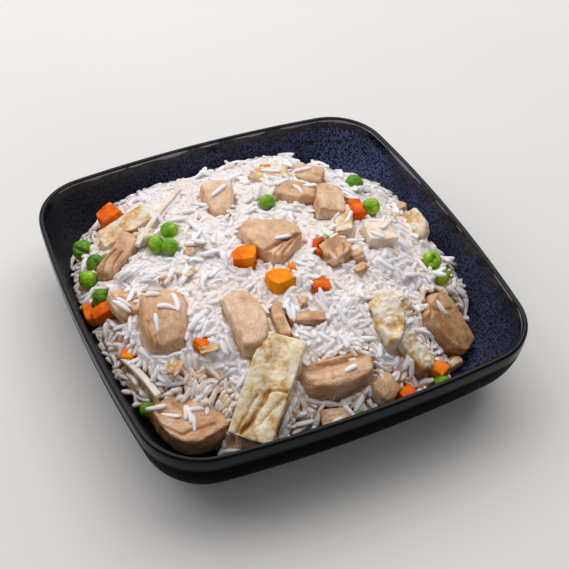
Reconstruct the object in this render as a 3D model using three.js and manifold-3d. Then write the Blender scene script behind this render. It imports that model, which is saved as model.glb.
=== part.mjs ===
// A square stoneware dish heaped with fried rice, chicken, omelette, peas and carrot.
// Millimetres, +Z up. The origin is on the table, under the middle of the dish.
// The dish's sides face -X, +X, -Y and +Y. Food angles are in degrees, turned about +Z from +X.

import * as THREE from "three";
import { mergeVertices } from "three/addons/utils/BufferGeometryUtils.js";
import Module from "manifold-3d";

const wasm = await Module();
wasm.setup();

// Dish
const DISH_HALF_WIDTH = 95;
const DISH_HEIGHT = 40;
const SIDE_BOW = 7;
const CORNER_RADIUS = 28.4;
const RIM_WIDTH = 2.8;
const RIM_ROUND = 1.4;
const RIM_ANGLES = [170, 90, 10];
const INNER_RUN = 34;
const INNER_LEVELS = [0.1, 0.28, 0.5, 0.74, 1];
const INNER_CORNER_SHRINK = 0.35;
const OUTER_RUN = 24;
const OUTER_LEVELS = [1, 0.74, 0.48, 0.2];
const FLOOR_HEIGHT = 8;
const FOOT_HEIGHT = 3;
const FOOT_INSET = 26;
const FOOT_WIDTH = 5;
const FOOT_DRAFT = 0.5;
const UNDERSIDE_RECESS = 2;
const SIDE_STEPS = 4;
const CORNER_STEPS = 5;

// Rice heap
const HEAP_CREST = 51;
const HEAP_EDGE = 23;
const HEAP_CENTRE = [0, 3.5];
const HEAP_SHOULDER = 3.2;
const HEAP_WALL_INSET = 9;
const HEAP_CORNER_ROUND = 3;
const CORNER_SHORTFALL = { near: 25, right: 25, far: 18, left: 14 };
const CORNER_SPREAD = 0.24;
const CLUMP_RISE = 1.3;
const CLUMP_SPAN = 17;
const BUMP_RISE = 1;
const BUMP_SPAN = 4.5;
const HEAP_STEP = 4.9;
const HEAP_WANDER = 1.3;

// Food surface
const BITE_SPAN = 5;
const WAVE_SPAN = 9;
const PEA_FLATNESS = 0.95;
const DIMPLE_SHARPNESS = 6;
const CUT_FIRMNESS = 0.88;

// Fit
const GAP = 0.3;
const PRESS_GROWTH = 0.35;
const POCKET_GROWTH = 1.2;
const POCKET_BALL = 1.18;
const RESOLUTION = 1e-4;

const SEED = { clump: 7, bump: 11, acrossWander: 3, alongWander: 4, food: 10, wave: 50 };

const FINISH = {
  stoneware: { color: 0x23252c, roughness: 0.4 },
  rice: { color: 0xe6dfda, roughness: 0.55 },
  chicken: { color: 0xd9ac7c, roughness: 0.55 },
  omelette: { color: 0xe6cf9a, roughness: 0.55 },
  pea: { color: 0x3f8f1d, roughness: 0.35 },
  carrot: { color: 0xe8730c, roughness: 0.4 },
  sprout: { color: 0xdfd3c0, roughness: 0.45 },
};

// Smooth noise from a seed

function latticeValue(i, j, k, seed) {
  let h = Math.imul(i, 374761393) + Math.imul(j, 668265263) + Math.imul(k, 2147483647);
  h = Math.imul(h + Math.imul(seed, 974634777), 1274126177);
  h ^= h >>> 13;
  h = Math.imul(h, 1103515245);
  h ^= h >>> 16;
  return (h >>> 0) / 2147483648 - 1;
}

function smoothNoise(x, y, z, seed) {
  const [i, j, k] = [Math.floor(x), Math.floor(y), Math.floor(z)];
  const ease = (t) => t * t * (3 - 2 * t);
  const [u, v, w] = [ease(x - i), ease(y - j), ease(z - k)];
  const along = (a, b, t) => a + (b - a) * t;
  const edge = (b, c) => along(latticeValue(i, b, c, seed), latticeValue(i + 1, b, c, seed), u);
  const face = (c) => along(edge(j, c), edge(j + 1, c), v);
  return along(face(k), face(k + 1), w);
}

// Hills and hollows over a plane, each about one span across.
function ripple(x, y, span, seed) {
  return smoothNoise(x / span, y / span, 0.5, seed);
}

// Solids

function shared(geometry) {
  const bare = new THREE.BufferGeometry();
  bare.setAttribute("position", geometry.getAttribute("position"));
  bare.setIndex(geometry.getIndex());
  return mergeVertices(bare, RESOLUTION);
}

function solidFrom(geometry) {
  const merged = shared(geometry);
  const vertProperties = new Float32Array(merged.getAttribute("position").array);
  const triVerts = new Uint32Array(merged.getIndex().array);
  return new wasm.Manifold(new wasm.Mesh({ numProp: 3, vertProperties, triVerts }));
}

function geometryFrom(solid) {
  const { vertProperties, triVerts } = solid.getMesh();
  const geometry = new THREE.BufferGeometry();
  geometry.setAttribute("position", new THREE.BufferAttribute(new Float32Array(vertProperties), 3));
  geometry.setIndex(new THREE.BufferAttribute(new Uint32Array(triVerts), 1));
  geometry.computeVertexNormals();
  return geometry;
}

function worldSolid(mesh) {
  mesh.updateMatrixWorld();
  return solidFrom(mesh.geometry.clone().applyMatrix4(mesh.matrixWorld));
}

function setWorldSolid(mesh, solid) {
  mesh.geometry = geometryFrom(solid).applyMatrix4(mesh.matrixWorld.clone().invert());
}

function largestPiece(solid) {
  return solid.decompose().reduce((a, b) => (a.volume() > b.volume() ? a : b));
}

// The same skin, moved out along its normals.
function grown(geometry, distance) {
  const bigger = shared(geometry);
  bigger.computeVertexNormals();
  const position = bigger.getAttribute("position");
  const normal = bigger.getAttribute("normal");
  for (let i = 0; i < position.count; i += 1) {
    const point = new THREE.Vector3().fromBufferAttribute(position, i);
    point.addScaledVector(new THREE.Vector3().fromBufferAttribute(normal, i), distance);
    position.setXYZ(i, point.x, point.y, point.z);
  }
  return bigger;
}

function facingOut(geometry) {
  const position = geometry.getAttribute("position");
  const index = geometry.getIndex().array;
  const corner = (i) => new THREE.Vector3().fromBufferAttribute(position, index[i]);
  let volume = 0;
  for (let i = 0; i < index.length; i += 3) {
    volume += corner(i).dot(corner(i + 1).cross(corner(i + 2)));
  }
  if (volume < 0) {
    const turned = Array.from(index);
    for (let i = 0; i < turned.length; i += 3) {
      [turned[i], turned[i + 1]] = [turned[i + 1], turned[i]];
    }
    geometry.setIndex(turned);
  }
  geometry.computeVertexNormals();
  return geometry;
}

// A closed skin through rings of equal point counts, with a cap on the first and last ring.
function loft(rings) {
  const count = rings[0].length;
  const points = rings.flat();
  const faces = [];
  for (let r = 0; r + 1 < rings.length; r += 1) {
    for (let i = 0; i < count; i += 1) {
      const a = r * count + i;
      const b = r * count + ((i + 1) % count);
      faces.push(a, b, b + count, a, b + count, a + count);
    }
  }
  const lastRing = (rings.length - 1) * count;
  for (const [ring, base, turned] of [[rings[0], 0, true], [rings.at(-1), lastRing, false]]) {
    const middle = new THREE.Vector3();
    ring.forEach((point) => middle.add(point));
    points.push(middle.divideScalar(count));
    const hub = points.length - 1;
    for (let i = 0; i < count; i += 1) {
      const [a, b] = [base + i, base + ((i + 1) % count)];
      faces.push(...(turned ? [hub, b, a] : [hub, a, b]));
    }
  }
  const geometry = new THREE.BufferGeometry().setFromPoints(points);
  geometry.setIndex(faces);
  return facingOut(geometry);
}

// Dish: the same bowed square outline at every level, drawn in by an inset

const SIDE_RADIUS = (DISH_HALF_WIDTH ** 2 + SIDE_BOW ** 2) / (2 * SIDE_BOW);

function cornerRadiusAt(inset) {
  const past = Math.max(0, inset - RIM_WIDTH);
  return CORNER_RADIUS - Math.min(inset, RIM_WIDTH) - INNER_CORNER_SHRINK * past;
}

// Four bowed sides and four round corners. Each corner's arc touches the two side arcs from inside.
function outlineRing(inset, height) {
  const side = SIDE_RADIUS - inset;
  const corner = cornerRadiusAt(inset);
  const centre = DISH_HALF_WIDTH - SIDE_RADIUS;
  const hub = (centre + Math.sqrt(2 * (side - corner) ** 2 - centre ** 2)) / 2;
  const meet = Math.atan2(hub, hub - centre);
  const quarter = [];
  for (let i = 0; i < SIDE_STEPS; i += 1) {
    const angle = meet * ((2 * i) / SIDE_STEPS - 1);
    quarter.push([centre + side * Math.cos(angle), side * Math.sin(angle)]);
  }
  for (let i = 0; i < CORNER_STEPS; i += 1) {
    const angle = meet + (Math.PI / 2 - 2 * meet) * (i / CORNER_STEPS);
    quarter.push([hub + corner * Math.cos(angle), hub + corner * Math.sin(angle)]);
  }
  const ring = [];
  for (const [c, s] of [[1, 0], [0, 1], [-1, 0], [0, -1]]) {
    quarter.forEach(([x, y]) => ring.push(new THREE.Vector3(x * c - y * s, x * s + y * c, height)));
  }
  return ring;
}

// The wall's curve: a quarter ellipse that leaves the rim upright and meets the floor level.
function innerWall(clearance) {
  return INNER_LEVELS.map((level) => {
    const turn = (level * Math.PI) / 2;
    const inset = RIM_WIDTH + INNER_RUN * (1 - Math.cos(turn)) + clearance;
    const fall = (DISH_HEIGHT - RIM_ROUND - FLOOR_HEIGHT) * Math.sin(turn);
    return outlineRing(inset, DISH_HEIGHT - RIM_ROUND - fall + clearance);
  });
}

function outerWall() {
  const wallFoot = FOOT_HEIGHT + FOOT_DRAFT;
  return OUTER_LEVELS.map((level) => {
    const turn = (level * Math.PI) / 2;
    const fall = (DISH_HEIGHT - RIM_ROUND - wallFoot) * Math.sin(turn);
    return outlineRing(OUTER_RUN * (1 - Math.cos(turn)), DISH_HEIGHT - RIM_ROUND - fall);
  });
}

function rim() {
  return RIM_ANGLES.map((angle) => {
    const turn = THREE.MathUtils.degToRad(angle);
    const inset = (RIM_WIDTH / 2) * (1 + Math.cos(turn));
    return outlineRing(inset, DISH_HEIGHT - RIM_ROUND + RIM_ROUND * Math.sin(turn));
  });
}

function foot() {
  const innerEdge = FOOT_INSET + FOOT_WIDTH;
  return [
    outlineRing(innerEdge + UNDERSIDE_RECESS, UNDERSIDE_RECESS),
    outlineRing(innerEdge, 0),
    outlineRing(FOOT_INSET, 0),
    outlineRing(FOOT_INSET - FOOT_DRAFT, FOOT_HEIGHT),
  ];
}

function dish() {
  return loft([...foot(), ...outerWall(), ...rim(), ...innerWall(0)]);
}

// The room inside the dish, with a gap all round and no lid.
function roomInside() {
  const tall = outlineRing(RIM_WIDTH + GAP, 2 * DISH_HEIGHT);
  const brim = outlineRing(RIM_WIDTH + GAP, DISH_HEIGHT - RIM_ROUND + GAP);
  return solidFrom(loft([tall, brim, ...innerWall(GAP)]));
}

// Heap: a flat-topped mound that fills the dish, short of its corners

const CORNER_ANGLES = { near: -135, right: -45, far: 45, left: 135 };

function edgeRadius(angle) {
  const middle = DISH_HALF_WIDTH - HEAP_WALL_INSET;
  const cornerHub = DISH_HALF_WIDTH - CORNER_RADIUS - HEAP_CORNER_ROUND;
  const diagonal = cornerHub * Math.SQRT2 + CORNER_RADIUS - HEAP_WALL_INSET;
  let radius = diagonal + (middle - diagonal) * Math.abs(Math.cos(2 * angle));
  for (const [corner, shortfall] of Object.entries(CORNER_SHORTFALL)) {
    const off = angle - THREE.MathUtils.degToRad(CORNER_ANGLES[corner]);
    const away = Math.atan2(Math.sin(off), Math.cos(off));
    radius -= shortfall * Math.exp(-((away / CORNER_SPREAD) ** 2));
  }
  return radius;
}

function heapTop(x, y) {
  const [fromX, fromY] = [x - HEAP_CENTRE[0], y - HEAP_CENTRE[1]];
  const part = Math.hypot(fromX, fromY) / edgeRadius(Math.atan2(fromY, fromX));
  const mound = HEAP_EDGE + (HEAP_CREST - HEAP_EDGE) * (1 - part ** HEAP_SHOULDER);
  return mound + CLUMP_RISE * ripple(x, y, CLUMP_SPAN, SEED.clump);
}

// A net of staggered rows whose points wander, bumped at the size of grains, over one point below.
function heapCore(room) {
  const reach = DISH_HALF_WIDTH;
  const columns = Math.ceil((2 * reach) / HEAP_STEP);
  const rows = Math.ceil((2 * reach) / (HEAP_STEP * Math.sin(Math.PI / 3)));
  const points = [];
  const faces = [];
  for (let j = 0; j <= rows; j += 1) {
    for (let i = 0; i <= columns; i += 1) {
      const inside = i > 0 && i < columns && j > 0 && j < rows;
      const stagger = inside && j % 2 === 1 ? 0.5 : 0;
      const evenX = -reach + ((i + stagger) / columns) * 2 * reach;
      const evenY = -reach + (j / rows) * 2 * reach;
      const wander = inside ? HEAP_WANDER : 0;
      const x = evenX + wander * ripple(evenX, evenY, HEAP_STEP, SEED.acrossWander);
      const y = evenY + wander * ripple(evenX, evenY, HEAP_STEP, SEED.alongWander);
      const top = heapTop(x, y) + BUMP_RISE * ripple(x, y, BUMP_SPAN, SEED.bump);
      points.push(new THREE.Vector3(x, y, Math.max(1, top)));
    }
  }
  const at = (i, j) => j * (columns + 1) + i;
  for (let j = 0; j < rows; j += 1) {
    for (let i = 0; i < columns; i += 1) {
      const [a, b, c, d] = [at(i, j), at(i + 1, j), at(i + 1, j + 1), at(i, j + 1)];
      faces.push(...(j % 2 ? [a, b, c, a, c, d] : [a, b, d, b, c, d]));
    }
  }
  const bottom = points.length;
  points.push(new THREE.Vector3(0, 0, -1));
  const border = [];
  for (let i = 0; i < columns; i += 1) border.push(at(i, 0));
  for (let j = 0; j < rows; j += 1) border.push(at(columns, j));
  for (let i = columns; i > 0; i -= 1) border.push(at(i, rows));
  for (let j = rows; j > 0; j -= 1) border.push(at(0, j));
  border.forEach((a, n) => faces.push(border[(n + 1) % border.length], a, bottom));
  const geometry = new THREE.BufferGeometry().setFromPoints(points);
  geometry.setIndex(faces);
  return solidFrom(facingOut(geometry)).intersect(room);
}

// Food pieces: a box drawn towards an ellipsoid, tapered, pared by upright cuts, and then curled,
// waved, grooved and roughened

// A point past a cut is drawn back almost to its plane.
function pared(x, y, cuts) {
  const point = new THREE.Vector2(x, y);
  for (const [angle, reach] of cuts) {
    const turn = THREE.MathUtils.degToRad(angle);
    const facing = new THREE.Vector2(Math.cos(turn), Math.sin(turn));
    const past = Math.max(0, point.dot(facing) - reach);
    point.addScaledVector(facing, -CUT_FIRMNESS * past);
  }
  return point;
}

function foodShape(item) {
  const [length, width, height] = item.size;
  const geometry = new THREE.BoxGeometry(2, 2, 2, ...item.steps);
  const position = geometry.getAttribute("position");
  for (let i = 0; i < position.count; i += 1) {
    const corner = new THREE.Vector3().fromBufferAttribute(position, i);
    const ball = corner.clone().normalize();
    const point = corner.lerp(ball, item.round);
    const narrow = 1 - item.taper * point.x;
    const { x, y } = pared((point.x * length) / 2, ((point.y * width) / 2) * narrow, item.cuts);
    const z = ((point.z * height) / 2) * narrow;
    const bite = item.rough * smoothNoise(x / BITE_SPAN, y / BITE_SPAN, z / BITE_SPAN, item.seed);
    const rise = item.wave * ripple(x, y, WAVE_SPAN, item.seed + SEED.wave);
    const bend = point.x ** 2;
    let dip = 0;
    for (const [offset, depth, span] of item.grooves) {
      dip += Math.max(0, point.z) * depth * Math.exp(-(((y - offset) / span) ** 2));
    }
    position.setXYZ(
      i,
      x + ball.x * bite,
      y + ball.y * bite + item.sway * bend,
      z + ball.z * bite + rise - item.curl * bend - dip,
    );
  }
  return geometry;
}

function peaShape(item) {
  const geometry = new THREE.IcosahedronGeometry(item.size[0] / 2, 1);
  const position = geometry.getAttribute("position");
  for (let i = 0; i < position.count; i += 1) {
    const point = new THREE.Vector3().fromBufferAttribute(position, i);
    const facing = Math.max(0, point.z / point.length());
    point.multiplyScalar(1 - item.dimple * facing ** DIMPLE_SHARPNESS);
    position.setXYZ(i, point.x, point.y, point.z * PEA_FLATNESS);
  }
  return geometry;
}

const PLAIN = {
  steps: [3, 2, 2],
  round: 0.5,
  rough: 0.5,
  taper: 0,
  sway: 0,
  curl: 0,
  wave: 0,
  grooves: [],
  cuts: [],
  dimple: 0,
  turn: 0,
  pitch: 0,
  roll: 0,
};

// Each piece lies at a spot on the heap, raised or sunk. A groove is its offset, depth and span.
// A cut is the angle that it faces in the piece's own plane, and its distance from the middle.

const CHICKEN = [
  // Chunks along the far side
  {
    at: [-12, 38], rise: -0.8, turn: -104, pitch: 2,
    size: [25, 15, 12], steps: [4, 3, 2], round: 0.6, taper: 0.4,
  },
  { at: [38, 44], rise: 0.6, turn: -38, roll: 12, size: [18, 11, 9], round: 0.45, taper: -0.1 },
  { at: [24.5, 30], rise: 0, turn: -32, size: [22, 13, 9.5], steps: [4, 3, 2], taper: 0.08 },
  { at: [35, 17.5], rise: 0, turn: -112, pitch: -4, roll: -14, size: [23, 14, 13], round: 0.35 },
  // The long chunk in the middle
  {
    at: [-1.5, 2], rise: -0.8, turn: -38,
    size: [34, 27, 13], steps: [5, 4, 2], round: 0.4,
    cuts: [[232, 8.6], [37, 13.5], [-17, 11], [108, 11.5]],
  },
  // The left side
  {
    at: [-64, 32], rise: 0.4, turn: -148, pitch: 22,
    size: [27, 11, 8.5], steps: [5, 3, 2], curl: 2, sway: -3,
  },
  {
    at: [-60.5, -15.5], rise: -2, turn: -106, pitch: 12,
    size: [32, 23, 18], steps: [4, 4, 3], round: 0.72, taper: 0.14,
  },
  { at: [-70, 5], rise: -1.6, turn: -80, roll: -20, size: [18, 14, 10] },
  // The near middle, with a narrow strip beside it
  {
    at: [-29.5, -33.5], rise: -2, turn: -91, pitch: 8,
    size: [33, 19, 14], steps: [4, 4, 3], round: 0.5,
    cuts: [[111, 9], [73, 8.8], [36, 12], [-90, 7.4], [205, 14]],
  },
  {
    at: [-17, -39], rise: -1.2, turn: -98, pitch: 10,
    size: [20, 6.5, 8], steps: [4, 2, 1], round: 0.45, sway: 1.5,
  },
  // The large cube at the near left corner
  {
    at: [-63.8, -54.5], rise: -4.2, turn: 12, roll: 6,
    size: [30, 27, 20], steps: [3, 3, 3], round: 0.2, rough: 1, cuts: [[215, 13.6], [33, 14.8]],
  },
  // Two folded strips at the near side
  {
    at: [-2, -68.5], rise: -0.6, turn: -2, roll: 8,
    size: [36, 16, 12], steps: [5, 6, 2], sway: 4, grooves: [[2.6, 3.2, 1.8]],
  },
  // A disc and a wedge at the right corner
  { at: [16.2, -76.2], rise: -3, turn: -64, pitch: 30, size: [15, 15, 12], round: 0.72 },
  {
    at: [61, -53], rise: -0.5, turn: -62, pitch: 34, roll: -8,
    size: [33, 22, 14], steps: [4, 3, 3], round: 0.42, taper: 0.22,
    cuts: [[-63, 9.4], [207, 14], [141, 15]],
  },
  // Small cubes right of the middle
  { at: [47.5, -10], rise: -0.4, turn: -12, pitch: 8, size: [15, 13, 12], round: 0.18, rough: 0.7 },
  {
    at: [23.3, -13.6], rise: -1.4, turn: 20,
    size: [16, 14, 12], round: 0.4, rough: 1.6, cuts: [[-50, 6.5], [150, 7]],
  },
  { at: [32, -19], rise: 0, size: [8, 7, 5], steps: [2, 2, 1] },
  // Small pieces along the near side
  {
    at: [59, -68], rise: 2, turn: 12, pitch: 4,
    size: [9.5, 7, 6], steps: [2, 2, 2], round: 0.6, rough: 1,
  },
  { at: [-5, -42], rise: -0.4, turn: -18, size: [20, 8, 5], steps: [4, 2, 1], round: 0.4, rough: 1 },
  { at: [-9, -81], rise: -2.2, turn: -12, roll: 26, size: [15, 10, 12], round: 0.3 },
];

const OMELETTE = [
  // The long strip that hangs down the near side
  {
    at: [-33.5, -64], rise: 1.8, turn: -136, pitch: 31,
    size: [47, 20, 4], steps: [7, 4, 1], round: 0.06, rough: 0.4,
    curl: 1.5, wave: 0.8, grooves: [[-1, 1.8, 2]],
  },
  // Strips along the far side
  {
    at: [-56, 48], rise: 1.8, pitch: -24,
    size: [28, 13, 4.5], steps: [4, 3, 1], round: 0.25, wave: 1.2,
  },
  { at: [20, 48.5], rise: 1, turn: -15, size: [18, 9, 4], steps: [3, 2, 1], round: 0.3, wave: 0.8 },
  // Strips on the right
  {
    at: [76, 2], rise: 2, turn: -92, roll: 38,
    size: [19, 13, 4.5], steps: [3, 3, 1], round: 0.35, rough: 0.8, wave: 0.8, cuts: [[57, 6.8]],
  },
  {
    at: [36, 3], rise: 1.2, turn: -112, roll: 16,
    size: [20, 9, 5], steps: [4, 2, 1], round: 0.3, rough: 0.8, wave: 1,
  },
  // Crumpled curds at the near side
  {
    at: [29.5, -54], rise: 0.4, turn: -86, pitch: 14,
    size: [27, 17, 10], steps: [4, 3, 2], rough: 2.4, cuts: [[41, 7], [243, 8]],
  },
  {
    at: [36, -68], rise: 1, turn: -64, pitch: 34,
    size: [20, 12, 8], steps: [3, 3, 2], rough: 2.2,
  },
  { at: [-52, 35], rise: 0.4, turn: -10, pitch: -14, size: [11, 7, 4], steps: [2, 2, 1], round: 0.3 },
];

const CARROT = [
  { at: [-58.5, 64], rise: 2.6, turn: 18, pitch: -12, size: [11, 9.5, 9], cuts: [[140, 5.4]] },
  { at: [-85.5, 16], rise: 1, turn: -92, size: [11, 5.5, 6] },
  { at: [-79, 10], rise: 0.2, turn: -8, pitch: -32, size: [13, 7, 6.5] },
  { at: [-17, -3], rise: 0, turn: -24, pitch: -4, size: [11, 10, 10], cuts: [[150, 5], [-38, 5.4]] },
  { at: [-8.5, -21.5], rise: 0.2, turn: 8, size: [11, 10, 8.5], cuts: [[62, 4.6], [205, 5]] },
  { at: [17, -9.5], rise: -0.8, turn: 70, size: [10, 6, 8] },
  { at: [8, -29.5], rise: -1.2, turn: -24, size: [7.5, 7, 6] },
  { at: [46.5, 10.5], rise: 0, turn: -100, size: [11, 7, 9] },
  { at: [-50, -33.5], rise: -0.4, turn: -70, size: [7, 6.5, 6] },
  { at: [-79, -17.5], rise: -0.4, turn: -30, size: [6.5, 6, 5] },
  { at: [25, -82], rise: 0.6, turn: 6, size: [7.5, 7.5, 7.5] },
  { at: [33, -86], rise: 5.4, turn: 20, size: [7.5, 6, 6] },
  { at: [46, -75], rise: 0.6, turn: 28, size: [7.5, 7, 6.5] },
];

const PEAS = [
  { at: [-75, 56], rise: 2, size: [10.2], dimple: 0.16 },
  { at: [-74, 39], rise: 0.6, size: [8.6] },
  { at: [-80, 32.5], rise: 1.2, size: [9] },
  { at: [-78.5, 18.5], rise: 0.8, size: [8.2] },
  { at: [-40.5, 30], rise: 1, size: [8.2] },
  { at: [-48.5, 25.5], rise: 1, size: [8] },
  { at: [-44, 20], rise: 1.6, size: [8.2] },
  { at: [8.5, 28.5], rise: 1, size: [7.8] },
  { at: [58.5, 33.5], rise: 1, size: [9] },
  { at: [56, 12], rise: 2, size: [8.8] },
  { at: [70, -24], rise: 2, size: [9.4], dimple: 0.18 },
  { at: [70, -33], rise: 1.4, size: [9] },
  { at: [-79.5, -43.5], rise: 1, size: [7.4] },
  { at: [-1, -86], rise: 4, size: [8.4] },
  { at: [44, -80], rise: 2.4, size: [7.4] },
];

const SPROUTS = [
  { at: [-41, 44], rise: 1.4, turn: 42, size: [50, 2.8, 2.4], sway: -1.2, curl: 0.8 },
  { at: [-78.5, -27], rise: 0.8, turn: -73, size: [40, 3.4, 2.8], sway: -2, curl: 0.4 },
];

const KINDS = [
  { kind: "chicken", items: CHICKEN, shape: foodShape, common: {} },
  { kind: "omelette", items: OMELETTE, shape: foodShape, common: {} },
  {
    kind: "carrot", items: CARROT, shape: foodShape,
    common: { steps: [2, 2, 2], round: 0.14, rough: 0.7 },
  },
  { kind: "pea", items: PEAS, shape: peaShape, common: {} },
  {
    kind: "sprout", items: SPROUTS, shape: foodShape,
    common: { steps: [8, 1, 1], round: 0.3, rough: 0.2 },
  },
];

function placed(name, item, shape, finish) {
  const mesh = new THREE.Mesh(shape(item), finish);
  const turns = [item.roll, item.pitch, item.turn].map(THREE.MathUtils.degToRad);
  mesh.name = name;
  mesh.position.set(...item.at, heapTop(...item.at) + item.rise);
  mesh.rotation.set(...turns, "ZYX");
  mesh.updateMatrixWorld();
  return mesh;
}

// Each piece keeps clear of the dish and of the pieces placed before it.
function toppings(room) {
  const pieces = [];
  let taken = null;
  for (const { kind, items, shape, common } of KINDS) {
    const finish = new THREE.MeshStandardMaterial(FINISH[kind]);
    items.forEach((item, number) => {
      const full = { ...PLAIN, seed: SEED.food * number + kind.length, ...common, ...item };
      const mesh = placed(`${kind}_${number + 1}`, full, shape, finish);
      const whole = worldSolid(mesh);
      let solid = whole;
      if (!whole.subtract(room).isEmpty()) solid = solid.intersect(room);
      if (taken && !whole.intersect(taken).isEmpty()) solid = solid.subtract(taken);
      if (solid !== whole) {
        solid = largestPiece(solid);
        setWorldSolid(mesh, solid);
      }
      const margin = solidFrom(grown(geometryFrom(solid), PRESS_GROWTH));
      taken = taken ? taken.add(margin) : margin;
      pieces.push({ mesh, solid, margin, full, shape });
    });
  }
  return pieces;
}

// The hollow that a piece leaves in the rice: its own shape with fewer faces, a little larger.
function pocket({ mesh, full, shape }) {
  if (shape === peaShape) {
    const ball = new THREE.IcosahedronGeometry((full.size[0] / 2) * POCKET_BALL, 0);
    return solidFrom(ball.applyMatrix4(mesh.matrixWorld));
  }
  const [length, width] = full.steps;
  const steps = [Math.ceil(length / 2), Math.ceil(width / 2), 1];
  const cutter = shape({ ...full, steps, round: full.round / 2, rough: full.rough / 2, grooves: [] });
  return solidFrom(grown(cutter, POCKET_GROWTH + full.rough / 2).applyMatrix4(mesh.matrixWorld));
}

// The rice round the toppings. A piece that reaches out of its pocket also cuts its own margin.
function riceRound(pieces, room) {
  let rice = heapCore(room).subtract(wasm.Manifold.union(pieces.map(pocket)));
  for (const { solid, margin } of pieces) {
    if (!rice.intersect(solid).isEmpty()) rice = rice.subtract(margin);
  }
  return largestPiece(rice);
}

const room = roomInside();
const pieces = toppings(room);

const bowl = new THREE.Mesh(dish(), new THREE.MeshStandardMaterial(FINISH.stoneware));
bowl.name = "dish";
const heap = new THREE.Mesh(
  geometryFrom(riceRound(pieces, room)),
  new THREE.MeshStandardMaterial(FINISH.rice),
);
heap.name = "rice_heap";

const food = new THREE.Group();
food.add(heap, ...pieces.map(({ mesh }) => mesh));
const plate = new THREE.Group();
plate.add(bowl, food);

export default plate;
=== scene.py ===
"""A square stoneware dish heaped with fried rice, chicken, omelette, peas and carrot.

Metres, +Z up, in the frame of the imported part: the origin is on the table, under the dish.
"""
import math
from itertools import product

import bmesh
import bpy
import numpy as np
from mathutils import Matrix, Vector
from mathutils.bvhtree import BVHTree


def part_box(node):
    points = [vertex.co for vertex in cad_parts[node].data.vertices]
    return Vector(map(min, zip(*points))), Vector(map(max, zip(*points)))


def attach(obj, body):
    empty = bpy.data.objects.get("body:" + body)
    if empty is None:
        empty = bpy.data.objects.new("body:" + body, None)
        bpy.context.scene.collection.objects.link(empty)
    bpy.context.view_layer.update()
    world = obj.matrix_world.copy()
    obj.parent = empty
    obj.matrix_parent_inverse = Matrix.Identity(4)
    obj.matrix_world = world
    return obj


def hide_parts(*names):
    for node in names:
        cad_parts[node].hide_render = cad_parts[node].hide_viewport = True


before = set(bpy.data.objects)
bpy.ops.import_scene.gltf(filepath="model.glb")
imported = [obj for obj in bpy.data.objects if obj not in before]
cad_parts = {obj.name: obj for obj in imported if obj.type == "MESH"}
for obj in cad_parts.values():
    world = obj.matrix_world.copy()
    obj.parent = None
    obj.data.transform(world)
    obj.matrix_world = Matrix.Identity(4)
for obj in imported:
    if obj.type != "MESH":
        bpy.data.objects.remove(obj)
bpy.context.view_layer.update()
MM = 0.001

# Camera
CAMERA_AT = (-0.1734, -0.3362, 0.4103)
CAMERA_TURN = math.radians(-28.007)
CAMERA_DOWN = math.radians(45.45)
CAMERA_ROLL = math.radians(3.64)
CAMERA_LENS = 72.64
CAMERA_SENSOR = 36

# Lights: place, size, power in watts and colour
LIGHTS = {
    "key": ((-0.5, 0.55, 0.75), (0.9, 0.9), 4.8, (0.99, 0.98, 1.0)),
    "fill": ((0.4, 0.5, 1.0), (1.4, 1.4), 12.6, (1.0, 0.99, 0.99)),
    "sheen": ((-0.45, -0.6, 0.5), (0.3, 0.3), 0.25, (0.8, 0.88, 1.0)),
}
LIGHT_AIM = (0, 0, 0.03)
WORLD_COLOUR = (0.97, 0.97, 1.0)
WORLD_STRENGTH = 0.24
FLOOR_REACH = 1.6

# Dish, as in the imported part
DISH_HALF_WIDTH = 95 * MM
DISH_HEIGHT = 40 * MM
SIDE_BOW = 7 * MM
CORNER_RADIUS = 28.4 * MM
RIM_WIDTH = 2.8 * MM
RIM_ROUND = 1.4 * MM
INNER_RUN = 34 * MM
INNER_CORNER_SHRINK = 0.35
OUTER_RUN = 24 * MM
FLOOR_HEIGHT = 8 * MM
FOOT_HEIGHT = 3 * MM
FOOT_INSET = 26 * MM
FOOT_WIDTH = 5 * MM
FOOT_DRAFT = 0.5 * MM
FOOT_ROUND = 0.6 * MM
UNDERSIDE_RECESS = 2 * MM
SIDE_STEPS = 26
CORNER_STEPS = 12
WALL_STEPS = 18
RIM_STEPS = 9
FOOT_RINGS = 7
WALL_START = 0.06
# Painted light: the inside of the dish is painted lighter and more bluish towards the side that faces
# the key light.
PAINTED_LIGHT_LEVEL = 0.34
PAINTED_LIGHT_RUN = (200 * MM, 330 * MM)

# Rice heap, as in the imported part
HEAP_CREST = 51 * MM
HEAP_EDGE = 23 * MM
HEAP_CENTRE = (0, 3.5 * MM)
HEAP_SHOULDER = 3.2
HEAP_WALL_INSET = 9 * MM
HEAP_CORNER_ROUND = 3 * MM
CORNER_SHORTFALL = {-135: 25 * MM, -45: 25 * MM, 45: 18 * MM, 135: 14 * MM}
CORNER_SPREAD = 0.24
CLUMP_RISE = 1.3 * MM
CLUMP_SPAN = 17 * MM
CLUMP_SEED = 7

# Clumps that stand out of the heap, in millimetres from the middle of the dish
CLUMPS = (
    (3.5, -22.5), (12, -12.5), (43, -25), (-22, -5), (17.5, 44), (47, 37), (68, -37), (-47, -30),
    (-46, -37), (0, -57), (-6, 28), (-58, 8), (-74, -8), (24, -40), (-30, 18), (52, -32), (-66, -28),
)
CLUMP_LIFT = 1.9 * MM
CLUMP_REACH = 6.5 * MM
WAVE_RISE = 1.2 * MM
WAVE_SPAN = 8.5 * MM
WAVE_SEED = 40

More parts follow.
